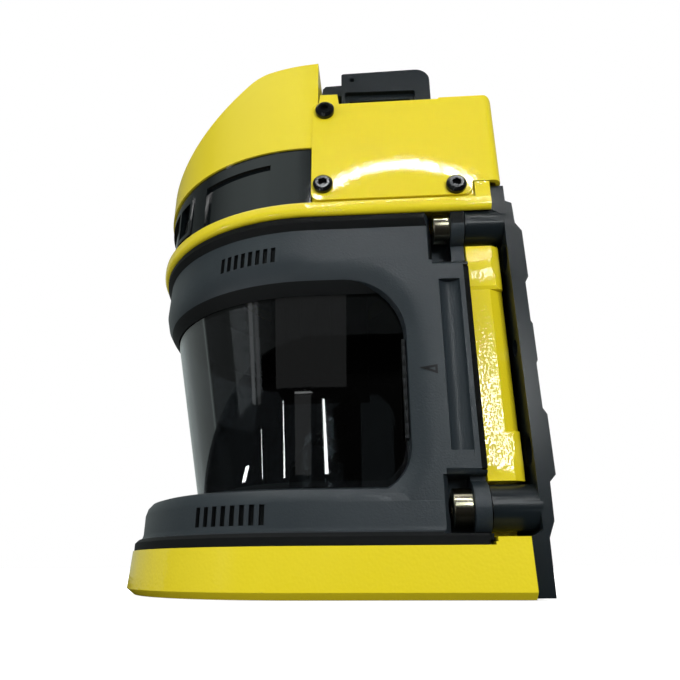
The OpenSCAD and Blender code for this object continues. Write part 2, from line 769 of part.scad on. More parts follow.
// Half-space under the mirror's slope, sunk by d below the reflecting face
module under_slope(d) {
    translate([0, 0, scan_z]) rotate([45, 0, 0]) translate([-30, -30, -60 - d])
        cube([60, 60, 60]);
}

// Spindle, hub and the slant-cut carrier of the mirror, turned from one bar
module spindle() {
    color("#9a9da0") difference() {
        union() {
            translate([0, 0, base_h + 0.6]) cylinder(r = spindle_r, h = hub_z - base_h);
            translate([0, 0, hub_z]) cylinder(r = 14.5, h = 3);
            intersection() {
                translate([0, 0, hub_z + 2]) cylinder(r = 12, h = 40);
                under_slope(2);
            }
        }
        // relief that balances the rotor
        translate([0, 8.6, hub_z + 9]) cylinder(r = 1.6, h = 30);
        for (s = [-1, 1]) translate([s * 12.5, 4, hub_z + 9]) rotate([0, 90, 0])
            cylinder(r = 3.6, h = 5, center = true);
    }
}

module mirror_glass() {
    color("#c8d4dc") intersection() {
        translate([0, 0, hub_z + 4]) cylinder(r = 11.4, h = 40);
        difference() {
            under_slope(0);
            under_slope(2);
        }
    }
}

module encoder_disc() {
    color("#c9cccf") translate([0, 0, hub_z - 0.8]) difference() {
        cylinder(r = 21, h = 0.8);
        translate([0, 0, -1]) cylinder(r = spindle_r + 1.5, h = 3);
        for (i = [0:encoder_slots - 1]) rotate([0, 0, i * 360 / encoder_slots])
            translate([17.6, -0.5, -1]) cube([2.4, 1, 3]);
    }
}

// Light barrier whose jaws stand above and below the encoder disc's rim
module encoder_sensor() {
    color("#202326") translate([0, 0, base_h]) difference() {
        translate([16.4, -3.5, 0]) cube([8.6, 7, hub_z - base_h + 3]);
        translate([14, -5, hub_z - base_h - 2]) cube([8.4, 10, 2.6]);
        translate([14, -5, hub_z - base_h - 1]) cube([2.6, 10, 6]);
        translate([14, -5, -1]) cube([5, 10, 8]);
    }
}

module motor_board() {
    color(board) difference() {
        translate([0, 0, 6.1]) linear_extrude(1.6) d_plan(37, 30);
        translate([0, 0, 5]) cylinder(r = 8, h = 4);
        for (p = bottom_holes) translate([p[0], p[1], 4]) cylinder(r = 4, h = 6);
    }
}

// Dark housing that hangs from the head and looks down on the mirror
module optics_housing() {
    lens_r = 11;
    color("#191b1c") difference() {
        union() {
            translate([-17, optics_y0, optics_z]) cube([34, optics_y1 - optics_y0, 36]);
            translate([-30, optics_y0 - 5, ring_z]) cube([60, 5.2 - optics_y0, 2]);
            translate([-17, optics_y0, 99]) cube([34, optics_y1 - optics_y0, 5]);
        }
        translate([0, 0, optics_z - 1]) cylinder(r = lens_r, h = 4);
        translate([0, 0, optics_z + 2]) cylinder(r = lens_r - 1, h = 30);
        translate([0, 0, optics_z + 30]) cylinder(r = 4, h = 20);
        translate([0, optics_y0 + 3.2, optics_z - 1]) cylinder(r = 2.2, h = 50);
        // cooling ribs on both flanks
        for (s = [0, 1]) mirror([s, 0, 0]) for (y = [-12:5:10])
            translate([15.6, y, optics_z + 5]) cube([3, 2.4, 27]);
    }
}

module receiver_lens() {
    color("#b8c4d8") translate([0, 0, optics_z + 0.6]) intersection() {
        cylinder(r = 10.95, h = 2.4);
        translate([0, 0, 26]) sphere(r = 26.4);
    }
}

module laser_module() {
    color(steel) translate([0, optics_y0 + 3.2, 0]) difference() {
        translate([0, 0, optics_z + 16]) cylinder(r = 2.15, h = 26);
        translate([0, 0, optics_z + 15]) cylinder(r = 1.2, h = 5);
    }
}

module detector_board() {
    z = head_z + ring_h + 2;
    color(board) difference() {
        translate([-14, -13, z]) cube([28, 26, 1.6]);
        translate([0, optics_y0 + 3.2, z - 1]) cylinder(r = 2.4, h = 4);
    }
    color("#202326") translate([-6, -4, z + 1.6]) cube([12, 10, 1.4]);
}

// Electronics boards in the rear of the head, with their larger components
module head_board(z, y0, y1) {
    color(board) difference() {
        translate([-44, y0, z]) cube([88, y1 - y0, 1.6]);
        for (x = [-38, 38]) for (y = [y0 + 4, y1 - 4])
            translate([x, y, z - 1]) cylinder(r = 1.7, h = 4);
    }
}

module main_board() {
    z = 111;
    head_board(z, 8, 42);
    color("#202326") {
        translate([-12, 14, z + 1.6]) cube([18, 18, 1.8]);
        translate([14, 18, z + 1.6]) cube([11, 8, 1.4]);
        translate([-30, 34, z + 1.6]) cube([20, 5, 5]);
    }
}

module power_board() {
    z = 123;
    head_board(z, 8, 42);
    color("#202326") {
        for (x = [-26, -14]) translate([x, 30, z + 1.6]) cylinder(r = 4, h = 6.4);
        translate([8, 26, z + 1.6]) cube([12, 12, 5]);
        translate([-12, 16, z + 1.6]) cube([24, 6, 6]);
    }
}

module board_posts() {
    color(steel) for (x = [-38, 38]) for (y = [12, 38]) translate([x, y, 0]) {
        translate([0, 0, ring_z + 1.8]) cylinder(r = 2.6, h = 111 - ring_z - 1.8);
        translate([0, 0, 112.6]) cylinder(r = 2.6, h = 123 - 112.6);
        translate([0, 0, 105]) cylinder(r = 1.65, h = 21.6);
        translate([0, 0, 124.6]) cylinder(r = 2.8, h = 2);
    }
}

base_housing();
bottom_plate();
bottom_screws();
head_housing();
head_bolts();
top_cap();
cap_screws();
camera_band();
camera_right();
camera_left();
camera_board();
rear_cover();
cover_screws_right();
cover_screws_left();
connector_block();
cable_sockets();
socket_pins();
window_frame();
scan_window();
window_seal();
edge_strips();
side_seals();
clamp_screws();
rear_bracket();
bracket_screws();
rear_gasket();
motor_stator();
lower_bearing();
upper_bearing();
spindle();
mirror_glass();
encoder_disc();
encoder_sensor();
motor_board();
optics_housing();
receiver_lens();
laser_module();
detector_board();
main_board();
power_board();
board_posts();
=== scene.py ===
import math

import bpy
from mathutils import Matrix, Vector


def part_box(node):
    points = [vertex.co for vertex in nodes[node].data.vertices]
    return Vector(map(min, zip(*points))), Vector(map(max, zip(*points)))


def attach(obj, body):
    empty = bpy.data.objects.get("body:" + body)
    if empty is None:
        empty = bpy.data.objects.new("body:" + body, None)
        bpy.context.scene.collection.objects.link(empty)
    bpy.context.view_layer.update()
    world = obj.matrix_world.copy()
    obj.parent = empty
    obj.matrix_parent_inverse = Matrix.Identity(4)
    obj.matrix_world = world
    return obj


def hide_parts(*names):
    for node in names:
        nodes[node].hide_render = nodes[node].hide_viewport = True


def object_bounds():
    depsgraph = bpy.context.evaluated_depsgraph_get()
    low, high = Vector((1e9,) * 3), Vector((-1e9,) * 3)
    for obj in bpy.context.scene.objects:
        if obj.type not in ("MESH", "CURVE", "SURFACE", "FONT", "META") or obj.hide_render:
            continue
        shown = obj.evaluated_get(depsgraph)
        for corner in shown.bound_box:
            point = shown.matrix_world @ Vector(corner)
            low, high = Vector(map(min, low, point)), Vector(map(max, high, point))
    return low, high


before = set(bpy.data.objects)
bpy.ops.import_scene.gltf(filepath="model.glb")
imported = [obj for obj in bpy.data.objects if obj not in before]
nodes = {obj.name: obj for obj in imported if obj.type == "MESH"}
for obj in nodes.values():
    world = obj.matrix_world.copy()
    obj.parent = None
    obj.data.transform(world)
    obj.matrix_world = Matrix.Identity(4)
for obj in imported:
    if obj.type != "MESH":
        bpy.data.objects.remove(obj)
cad_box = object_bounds()

# ---- Table and tent --------------------------------------------------------
# Pale table top in a white photo tent. What the eye sees, what gloss mirrors and
# what lights matt surfaces each have their own brightness, so these aren't one
# real room: the backdrop stays white while the gloss keeps its dark side.


def linear(code):
    """Linear colour from an sRGB hex code."""
    parts = [int(code[i:i + 2], 16) / 255 for i in (1, 3, 5)]
    return [c / 12.92 if c <= 0.04045 else ((c + 0.055) / 1.055) ** 2.4 for c in parts] + [1]


def add(tree, kind, inputs=None, **settings):
    """Adds a node, sets its properties, and fills or links its sockets."""
    made = tree.nodes.new(kind)
    for key, value in settings.items():
        setattr(made, key, value)
    for key, value in (inputs or {}).items():
        if isinstance(value, bpy.types.NodeSocket):
            tree.links.new(value, made.inputs[key])
        else:
            made.inputs[key].default_value = value
    return made


def new_material(name):
    """A material with an empty node tree."""
    made = bpy.data.materials.new(name)
    made.use_nodes = True
    made.node_tree.nodes.clear()
    return made, made.node_tree


def surface(tree, shader):
    """Links the shader to a new material output."""
    add(tree, "ShaderNodeOutputMaterial", {"Surface": shader.outputs[0]})


TABLE_SIZE = 6
TABLE_GAP = 0.0002
PAPER_GLOW = 0.85
SHADE_FROM_Y, SHADE_TO_Y = -0.2, 0.04

bpy.ops.object.select_all(action="DESELECT")
bpy.ops.mesh.primitive_plane_add(size=TABLE_SIZE, location=(0, 0, cad_box[0].z - TABLE_GAP))
table_top = bpy.context.object
table_top.name = "table_top"

# matt white paper, lit from within as on a light table, that throws back
# less light than it shows, and is dark where gloss mirrors it
paper, tree = new_material("light_table_paper")
shown = add(tree, "ShaderNodeBsdfDiffuse", {"Color": linear("#f4f4f2")})
lit = add(tree, "ShaderNodeEmission", {"Color": linear("#ffffff"), "Strength": PAPER_GLOW})
bright = add(tree, "ShaderNodeAddShader", {0: shown.outputs[0], 1: lit.outputs[0]})
across = add(tree, "ShaderNodeSeparateXYZ",
             {0: add(tree, "ShaderNodeTexCoord").outputs["Object"]})
edge = add(tree, "ShaderNodeMapRange", {"Value": across.outputs["Y"],
                                        "From Min": SHADE_FROM_Y, "From Max": SHADE_TO_Y})
shade = add(tree, "ShaderNodeMix", {"Factor": edge.outputs[0], 6: linear("#c4c4c4"),
                                    7: linear("#909090")}, data_type="RGBA")
dull = add(tree, "ShaderNodeBsdfDiffuse", {"Color": shade.outputs[2]})
dark = add(tree, "ShaderNodeBsdfDiffuse", {"Color": linear("#202020")})
seen = add(tree, "ShaderNodeLightPath")
in_gloss = add(tree, "ShaderNodeMixShader", {0: seen.outputs["Is Glossy Ray"],
                                             1: dull.outputs[0], 2: dark.outputs[0]})
surface(tree, add(tree, "ShaderNodeMixShader", {0: seen.outputs["Is Camera Ray"],
                                                1: in_gloss.outputs[0], 2: bright.outputs[0]}))
table_top.data.materials.append(paper)

# The tent as gloss mirrors it, at table height and higher up: greys by their
# share of a full turn that goes from -X by way of -Y, +X and +Y.
ROOM_LOW = ((0.0, 0.5), (0.23, 0.42), (0.234, 0.9), (0.2365, 0.9), (0.239, 0.0),
            (0.243, 0.09), (0.33, 0.12), (0.352, 0.13), (0.361, 0.24), (0.37, 0.12),
            (0.405, 0.07), (0.414, 0.02), (0.6, 0.03), (0.75, 0.3))
ROOM_HIGH = ((0.0, 0.25), (0.1, 0.2), (0.25, 0.12), (0.32, 0.7), (0.38, 1.0),
             (0.455, 0.95), (0.48, 0.2), (0.5, 0.04), (0.62, 0.04), (0.75, 0.3))
ROOM_TINT = (0.88, 1.0, 0.97)
LIFT_FROM_Z, LIFT_TO_Z = 0.42, 0.52
DOME_FROM_Z, DOME_TO_Z, DOME_SHARE = 0.7, 0.9, 0.6

world = bpy.data.worlds.new("photo_tent")
world.use_nodes = True
tree = world.node_tree
tree.nodes.clear()
way = add(tree, "ShaderNodeSeparateXYZ",
          {0: add(tree, "ShaderNodeTexCoord").outputs["Generated"]})
turn = add(tree, "ShaderNodeMath", {0: way.outputs["Y"], 1: way.outputs["X"]},
           operation="ARCTAN2")
round_room = add(tree, "ShaderNodeMapRange", {"Value": turn.outputs[0], "From Min": -math.pi,
                                              "From Max": math.pi})
walls_at = []
for stops, last_grey in ((ROOM_LOW, 0.5), (ROOM_HIGH, 0.25)):
    wall = add(tree, "ShaderNodeValToRGB", {0: round_room.outputs[0]})
    wall.color_ramp.elements.remove(wall.color_ramp.elements[0])
    for place, grey in stops:
        stop = wall.color_ramp.elements.new(place)
        stop.color = (*(grey * part for part in ROOM_TINT), 1)
    wall.color_ramp.elements[-1].color = (last_grey, last_grey, last_grey, 1)
    walls_at.append(wall)
lift = add(tree, "ShaderNodeMapRange", {"Value": way.outputs["Z"], "From Min": LIFT_FROM_Z,
                                        "From Max": LIFT_TO_Z})
walls = add(tree, "ShaderNodeMix", {"Factor": lift.outputs[0], 6: walls_at[0].outputs[0],
                                    7: walls_at[1].outputs[0]}, data_type="RGBA")
dome = add(tree, "ShaderNodeMapRange", {"Value": way.outputs["Z"], "From Min": DOME_FROM_Z,
                                        "From Max": DOME_TO_Z, "To Min": 0.0,
                                        "To Max": DOME_SHARE})
mirrored_room = add(tree, "ShaderNodeMix", {"Factor": dome.outputs[0], 6: walls.outputs[2],
                                            7: linear("#d8d8d8")}, data_type="RGBA")

# what lights the matt surfaces is smoother, and strongest from +X and a little +Y
REAR_SHARE = 0.6
FILL_LOW, FILL_HIGH = 0.24, 0.37
slant = add(tree, "ShaderNodeMath", {0: way.outputs["Y"], 1: REAR_SHARE, 2: way.outputs["X"]},
            operation="MULTIPLY_ADD")
fill = add(tree, "ShaderNodeMapRange", {"Value": slant.outputs[0], "From Min": -0.6,
                                        "From Max": 0.9, "To Min": FILL_LOW,
                                        "To Max": FILL_HIGH})
seen = add(tree, "ShaderNodeLightPath")
plain_or_mirrored = add(tree, "ShaderNodeMix", {"Factor": seen.outputs["Is Glossy Ray"],
                                                6: fill.outputs[0],
                                                7: mirrored_room.outputs[2]},
                        data_type="RGBA")
through_window = add(tree, "ShaderNodeMath", {0: seen.outputs["Transmission Depth"], 1: 0.5},
                     operation="GREATER_THAN")
open_view = add(tree, "ShaderNodeMath", {0: seen.outputs["Is Camera Ray"],
                                         1: through_window.outputs[0]}, operation="MAXIMUM")
glow = add(tree, "ShaderNodeMix", {"Factor": open_view.outputs[0],
                                   6: plain_or_mirrored.outputs[2], 7: linear("#ffffff")},
           data_type="RGBA")
sky = add(tree, "ShaderNodeBackground", {"Color": glow.outputs[2], "Strength": 1.0})
add(tree, "ShaderNodeOutputWorld", {"Surface": sky.outputs[0]})
bpy.context.scene.world = world
bpy.context.scene.view_settings.view_transform = "Standard"

# ---- Lamps -------------------------------------------------------------------
# Six soft area lamps, of which gloss mirrors only the top one, and a round tube
# lamp whose upper half gives the arc in the cover's gloss.


def softbox(name, place, aim, size, watts, mirrored=False):
    """A square area light at place, facing aim. Unless mirrored, reflections don't show it."""
    bpy.ops.object.light_add(type="AREA", location=place)
    lamp = bpy.context.object
    lamp.name = name
    lamp.data.shape = "SQUARE"
    lamp.data.size = size
    lamp.data.energy = watts
    lamp.visible_camera = False
    lamp.visible_glossy = mirrored
    lamp.rotation_euler = (Vector(aim) - Vector(place)).to_track_quat("-Z", "Y").to_euler()


softbox("top_softbox", (0.0, -0.1, 0.75), (0, 0, 0.08), 0.6, 2.0, mirrored=True)
softbox("side_softbox", (0.65, 0.28, 0.42), (0, 0.02, 0.08), 0.3, 0.3)
softbox("front_softbox", (0.4, -0.6, 0.12), (0, 0, 0.06), 0.3, 1.6)
softbox("low_softbox", (0.6, 0.24, 0.13), (0, 0.04, 0.06), 0.15, 2.1)
softbox("back_softbox", (-0.45, 0.55, 0.4), (0, 0, 0.08), 0.4, 2.5)
softbox("left_softbox", (-0.6, -0.35, 0.4), (0, 0, 0.08), 0.4, 0.6)

RING_CENTRE = Vector((0.308, 0.041, 0.2206))
RING_RADIUS, TUBE_RADIUS = 0.0904, 0.0018
RING_BEADS = 36.0
BEAD_DIM, BEAD_BRIGHT = 50.0, 130.0
RING_FADE = 0.04                 # the tube comes on over this height above its centre

bpy.ops.object.select_all(action="DESELECT")
bpy.ops.mesh.primitive_torus_add(major_radius=RING_RADIUS, minor_radius=TUBE_RADIUS,
                                 major_segments=96, minor_segments=12)
ring_lamp = bpy.context.object
ring_lamp.name = "ring_lamp"
ring_lamp.data.transform(Matrix.Translation(RING_CENTRE) @ Matrix.Rotation(math.pi / 2, 4, "Y"))
ring_lamp.visible_camera = False
ring_lamp.visible_diffuse = False
tube, tree = new_material("lit_lamp_tube")
place = add(tree, "ShaderNodeSeparateXYZ", {0: add(tree, "ShaderNodeTexCoord").outputs["Object"]})
up = add(tree, "ShaderNodeMath", {0: place.outputs["Z"], 1: RING_CENTRE.z}, operation="SUBTRACT")
along = add(tree, "ShaderNodeMath", {0: place.outputs["Y"], 1: RING_CENTRE.y},
            operation="SUBTRACT")
turned = add(tree, "ShaderNodeMath", {0: up.outputs[0], 1: along.outputs[0]}, operation="ARCTAN2")
beads = add(tree, "ShaderNodeMath", {0: turned.outputs[0], 1: RING_BEADS}, operation="MULTIPLY")
wave = add(tree, "ShaderNodeMath", {0: beads.outputs[0]}, operation="SINE")
power = add(tree, "ShaderNodeMapRange", {"Value": wave.outputs[0], "From Min": -1.0,
                                         "To Min": BEAD_DIM, "To Max": BEAD_BRIGHT})
lit_part = add(tree, "ShaderNodeMapRange", {"Value": up.outputs[0], "From Min": 0.0,
                                            "From Max": RING_FADE})
strength = add(tree, "ShaderNodeMath", {0: power.outputs[0], 1: lit_part.outputs[0]},
               operation="MULTIPLY")
surface(tree, add(tree, "ShaderNodeEmission", {"Color": linear("#ffffff"),
                                               "Strength": strength.outputs[0]}))
ring_lamp.data.materials.append(tube)

# ---- Strips and cards --------------------------------------------------------
# Lit strips on the table and cards beyond it, which only reflections show: most
# in the window, and some in the band, the column, the bracket and the cap.
STRIP_GAP = 0.0001
FLOOR = cad_box[0].z - STRIP_GAP
STRIP_GLOW = 30
CARD_X = 0.308
LONG_CARD_Y = -0.3


def card(name, corners, glow):
    """A four-sided glowing card that only reflections show."""
    bpy.ops.object.select_all(action="DESELECT")
    bpy.ops.mesh.primitive_plane_add(size=1)
    made = bpy.context.object
    made.name = name
    for vertex, corner in zip(made.data.vertices, [corners[i] for i in (0, 1, 3, 2)]):
        vertex.co = corner
    made.visible_camera = made.visible_diffuse = made.visible_transmission = False
    made.visible_shadow = False
    lit_card, tree = new_material("lit_" + name)
    surface(tree, add(tree, "ShaderNodeEmission", {"Color": linear("#f4f8f8"),
                                                   "Strength": glow}))
    made.data.materials.append(lit_card)


for start, end, wide in (((0.411, -0.205), (0.140, -0.065), 0.003),
                         ((0.408, -0.030), (0.152, -0.006), 0.0016),
                         ((0.247, -0.243), (0.124, -0.115), 0.0013),
                         ((0.125, -0.194), (0.093, -0.168), 0.014)):
    start, end = Vector((*start, FLOOR)), Vector((*end, FLOOR))
    aside = (end - start).cross(Vector((0, 0, 1))).normalized() * wide / 2
    card("table_strip", (start - aside, start + aside, end + aside, end - aside), STRIP_GLOW)
card("table_panel", ((0.451, -0.145, FLOOR), (0.441, -0.045, FLOOR), (0.151, -0.014, FLOOR),
                     (0.149, -0.045, FLOOR)), 0.3)
card("table_panel_edge", ((0.475, -0.152, FLOOR), (0.463, -0.045, FLOOR),
                          (0.449, -0.045, FLOOR), (0.459, -0.146, FLOOR)), 3.0)
card("side_card", ((CARD_X, 0.088, 0.09), (CARD_X, 0.103, 0.165), (CARD_X, 0.112, 0.165),
                   (CARD_X, 0.108, 0.09)), 45)
card("grey_card", ((0.35, -0.212, 0.019), (0.35, -0.188, 0.105), (0.35, -0.004, 0.093),
                   (0.35, -0.006, 0.017)), 0.2)
card("long_card", ((0.246, LONG_CARD_Y, 0.021), (0.273, LONG_CARD_Y, 0.119),
                   (0.3, LONG_CARD_Y, 0.119), (0.27, LONG_CARD_Y, 0.016)), 0.8)
card("long_card", ((0.285, LONG_CARD_Y, 0.014), (0.318, LONG_CARD_Y, 0.119),
                   (0.349, LONG_CARD_Y, 0.119), (0.311, LONG_CARD_Y, 0.011)), 0.35)

# ---- Camera ------------------------------------------------------------------
# Wide lens close to the object and just above the table, a little behind the
# object's middle, that looks up at its right side.
EYE = Vector((0.19282, 0.01743, 0.00697))
HEADING = math.radians(93.6879)    # turn about Z from looking along +Y
PITCH = math.radians(21.4502)
ROLL = math.radians(-0.268)
LENS = 30.472                        # millimetres, on a sensor 36 wide

bpy.ops.object.camera_add(location=EYE)
camera = bpy.context.object
camera.matrix_world = (Matrix.Translation(EYE) @ Matrix.Rotation(HEADING, 4, "Z")
                       @ Matrix.Rotation(math.pi / 2 + PITCH, 4, "X")
                       @ Matrix.Rotation(ROLL, 4, "Z"))
camera.data.sensor_width = 36
camera.data.lens = LENS
camera.data.clip_start = 0.002
bpy.context.scene.camera = camera

# ---- Base casting --------------------------------------------------------------
# Base, rear column and mirror chamber in one aluminium die casting. It is powder
# coated yellow, except for the chamber inside the window, which is black.


def powder_coat(name, peel_per_metre, depth):
    """Satin yellow powder coat, whose faint orange peel breaks up highlights."""
    made, tree = new_material(name)
    at = add(tree, "ShaderNodeTexCoord").outputs["Object"]
    peel = add(tree, "ShaderNodeTexNoise", {"Vector": at, "Scale": peel_per_metre, "Detail": 0})
    cloud = add(tree, "ShaderNodeTexNoise", {"Vector": at, "Scale": 45, "Detail": 3})
    tint = add(tree, "ShaderNodeMix", {"Factor": cloud.outputs[0], 6: linear("#e0cd1c"),
                                       7: linear("#e6d424")}, data_type="RGBA")
    bump = add(tree, "ShaderNodeBump", {"Height": peel.outputs[0], "Distance": depth,
                                        "Strength": 0.6})
    surface(tree, add(tree, "ShaderNodeBsdfPrincipled",
                      {"Base Color": tint.outputs[2], "Roughness": 0.45, "IOR": 1.5,
                       "Normal": bump.outputs[0], "Specular IOR Level": 0.2,
                       "Coat Weight": 0.6, "Coat Roughness": 0.02,
                       "Coat Normal": bump.outputs[0]}))
    return made


def soften(name, width, slot, *materials, join=2e-6):
    """A copy of a CAD node with edges rounded to that width, which stands for the node."""
    bpy.ops.object.select_all(action="DESELECT")
    piece = bpy.data.objects.new(name + "_finished", nodes[name].data.copy())
    bpy.context.collection.objects.link(piece)
    bpy.context.view_layer.objects.active = piece
    piece.select_set(True)
    piece.data.materials.clear()
    for material in materials:
        piece.data.materials.append(material)
    bpy.ops.object.mode_set(mode="EDIT")
    bpy.ops.mesh.select_all(action="SELECT")
    bpy.ops.mesh.remove_doubles(threshold=join)
    bpy.ops.mesh.dissolve_limited(angle_limit=math.radians(0.6))
    bpy.ops.mesh.normals_make_consistent(inside=False)
    bpy.ops.object.mode_set(mode="OBJECT")
    edges = piece.modifiers.new("edges", "BEVEL")
    edges.width = width
    edges.segments = 3
    edges.limit_method = "ANGLE"
    edges.angle_limit = math.radians(28)
    bpy.ops.object.modifier_apply(modifier="edges")
    bpy.ops.object.shade_smooth_by_angle(angle=math.radians(35))
    even = piece.modifiers.new("even", "WEIGHTED_NORMAL")
    even.keep_sharp = True
    bpy.ops.object.modifier_apply(modifier="even")
    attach(piece, "housing")
    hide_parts(name)
    return piece


def recoat(piece, chosen):
    """Gives the faces whose centre passes the test the piece's second material."""
    for face in piece.data.polygons:
        if chosen(face.center):
            face.material_index = 1


# thicker on the casting, with a peel of 0.7 mm: highlights break into soft patches
cast_yellow = powder_coat("powder_coat_on_casting", 1500, 0.00006)
# dead black, so the chamber shows no form behind the window
chamber_black, tree = new_material("black_velvet_lacquer")
surface(tree, add(tree, "ShaderNodeBsdfPrincipled", {"Base Color": linear("#0b0c0c"),
                                                     "Roughness": 0.8}))
CHAMBER_R, CHAMBER_REAR = 0.0512, 0.0365
CHAMBER_Z0, CHAMBER_Z1 = 0.0105, 0.0985


def in_chamber(centre):
    """Inside the window, round the mirror."""
    return (Vector((centre.x, centre.y)).length < CHAMBER_R and centre.y < CHAMBER_REAR
            and CHAMBER_Z0 < centre.z < CHAMBER_Z1)


base = soften("base_housing", 0.0008, "yellow_paint", cast_yellow, chamber_black)
recoat(base, in_chamber)

# ---- Head casting --------------------------------------------------------------
# Second aluminium die casting, with the rounded ring over the window. It is bolted
# to the column from above, and coated as the base is.
head = soften("head_housing", 0.0004, "yellow_paint", cast_yellow, chamber_black)
recoat(head, in_chamber)

# ---- Sloped cap ------------------------------------------------------------------
# Sloped lid over the camera band, powder coated yellow. It is screwed down on the
# head from inside.

# thin and even, with a peel of 0.4 mm: a sharp gloss over satin that glitters
sheet_yellow = powder_coat("powder_coat_on_sheet", 2600, 0.000007)
soften("top_cap", 0.0005, "yellow_paint", sheet_yellow)

# ---- Rear cover ------------------------------------------------------------------
# Sheet folded down over both sides of the head, coated yellow, and held by three
# screws on each side.
soften("rear_cover", 0.0003, "yellow_paint", sheet_yellow)

# ---- Front frame -------------------------------------------------------------------
# Glass-filled nylon, injection moulded in one piece. It holds the window against the
# castings, and is pulled back by the clamp screws in its rear corners.


def moulded_nylon(name, tones, rough, grain, depth, level=0.5):
    """Black nylon with a moulded grain of that size in metres."""
    made, tree = new_material(name)
    at = add(tree, "ShaderNodeTexCoord").outputs["Object"]
    fine = add(tree, "ShaderNodeTexNoise", {"Vector": at, "Scale": 1 / grain, "Detail": 3,
                                            "Roughness": 0.6})
    cloud = add(tree, "ShaderNodeTexNoise", {"Vector": at, "Scale": 60, "Detail": 4})
    tint = add(tree, "ShaderNodeMix", {"Factor": cloud.outputs[0], 6: linear(tones[0]),
                                       7: linear(tones[1])}, data_type="RGBA")
    bump = add(tree, "ShaderNodeBump", {"Height": fine.outputs[0], "Distance": depth,
                                        "Strength": 0.7})
    surface(tree, add(tree, "ShaderNodeBsdfPrincipled",
                      {"Base Color": tint.outputs[2], "Roughness": rough, "IOR": 1.5,
                       "Normal": bump.outputs[0], "Specular IOR Level": level}))
    return made


# spark-eroded mould: a fine grain that greys the black and spreads its shine
grained_nylon = moulded_nylon("moulded_nylon_grained", ("#20272c", "#293136"), 0.45, 0.0006,
                              0.00008)
# the same nylon, darker and duller, as painted shade where the ring, the base and the slots keep
# light off it
painted_shade_nylon = moulded_nylon("moulded_nylon_painted_shade", ("#0b0d0e", "#0e1011"), 0.6, 0.0006,
                             0.00004, level=0.2)
LIP_UNDER_HEAD_Z, LIP_OVER_BASE_Z = 0.0948, 0.0139
WINDOW_LIP_Z0, WINDOW_LIP_Z1, WINDOW_LIP_R = 0.0755, 0.0798, 0.0545
SLOT_R0, SLOT_R1, SLOT_REAR = 0.0535, 0.0548, 0.02
SLOT_HEIGHTS = ((0.0155, 0.0208), (0.0855, 0.0935))


def in_shade(centre):
    """Where shade is painted: the lips under the head and over the base, the window's upper lip,
    and the slots.
    """
    out = Vector((centre.x, centre.y)).length
    on_lip = centre.z > LIP_UNDER_HEAD_Z or centre.z < LIP_OVER_BASE_Z
    by_window = WINDOW_LIP_Z0 < centre.z < WINDOW_LIP_Z1 and out < WINDOW_LIP_R
    in_slot = (centre.y < SLOT_REAR and SLOT_R0 < out < SLOT_R1
               and any(low < centre.z < high for low, high in SLOT_HEIGHTS))
    return on_lip or by_window or in_slot


FRAME_JOIN = 1.3e-4              # vertices this close are joined before edges are rounded
frame_piece = soften("window_frame", 0.0004, "frame_black", grained_nylon, painted_shade_nylon,
                     join=FRAME_JOIN)
# painted shade: the faces that pass in_shade get the darker nylon
recoat(frame_piece, in_shade)

# ---- Rear bracket --------------------------------------------------------------
# Nylon wall bracket with four arms, moulded in a polished mould. It is screwed to
# the wall, and its arms take the clamp screws.

# polished mould: smooth, darker than the frame, with a soft shine
smooth_nylon = moulded_nylon("moulded_nylon_smooth", ("#11171b", "#171e22"), 0.3, 0.0009,
                             0.00001, level=0.33)
soften("rear_bracket", 0.0005, "bracket_black", smooth_nylon)


# ---- Connector block and bottom plate --------------------------------------------
# Moulded nylon too: a block on the deck that carries the cable sockets, and a flat
# plate screwed on under the base.
def finish_nodes(material, *names):
    """Puts the material in every slot of the named CAD nodes."""
    for name in names:
        node = nodes[name]
        if not node.material_slots:
            node.data.materials.append(material)
        for slot in node.material_slots:
            slot.material = material


soften("connector_block", 0.0004, "frame_black", smooth_nylon)
finish_nodes(smooth_nylon, "bottom_plate")

# ---- Camera band -----------------------------------------------------------------
# Curved band of black acrylic between head and cap, that hides the two cameras.
# It is polished outside; the narrow face under its brow is matt black, as painted shade.


def finish(name, tones, rough, metallic=0.0, ior=1.5, patch=0.006, level=0.5, clear=0.0):
    """Two close tones, with a roughness that wanders by a fifth, in patches of that size."""
    made, tree = new_material(name)
    patches = add(tree, "ShaderNodeTexNoise", {
        "Vector": add(tree, "ShaderNodeTexCoord").outputs["Object"], "Scale": 1 / patch,
        "Detail": 4})
    tint = add(tree, "ShaderNodeMix", {"Factor": patches.outputs[0], 6: linear(tones[0]),
                                       7: linear(tones[1])}, data_type="RGBA")
    wander = add(tree, "ShaderNodeMapRange", {"Value": patches.outputs[0],
                                              "To Min": 0.8 * rough, "To Max": 1.2 * rough})
    inputs = {"Base Color": tint.outputs[2], "Roughness": wander.outputs[0],
              "Metallic": metallic, "Specular IOR Level": level, "Transmission Weight": clear}
    if not metallic:
        inputs["IOR"] = ior
    surface(tree, add(tree, "ShaderNodeBsdfPrincipled", inputs))
    return made


# cast and polished: mirrors the room in clear streaks
gloss_acrylic = finish("cast_acrylic_gloss_black", ("#0a0e10", "#0d1113"), 0.08, ior=1.49)
# black with no shine: ink for the printed marks, and painted shade under the band's brow
matt_black = finish("matt_black_ink_and_painted_shade", ("#050606", "#080909"), 0.7)
BROW_Z0, BROW_Z1 = 0.1168, 0.1176
band = soften("camera_band", 0.0003, "band_gloss", gloss_acrylic, matt_black)
# painted shade: the narrow face under the brow gets the matt black
recoat(band, lambda centre: BROW_Z0 < centre.z < BROW_Z1)

# ---- Triangle on the side panels -----------------------------------------------------
# Outline of a triangle in matt black ink, pad printed on each side panel of the
# frame, that points to the window.
MARK_RADIUS, MARK_LINE, INK = 0.003, 0.0006, 0.00004
PANEL_X = 0.0551
MARK_FROM_REAR, MARK_Z = 0.0115, 0.0529
MARK_HEIGHT, MARK_LEAN = 0.48, 0.12      # flattens the triangle and tips it

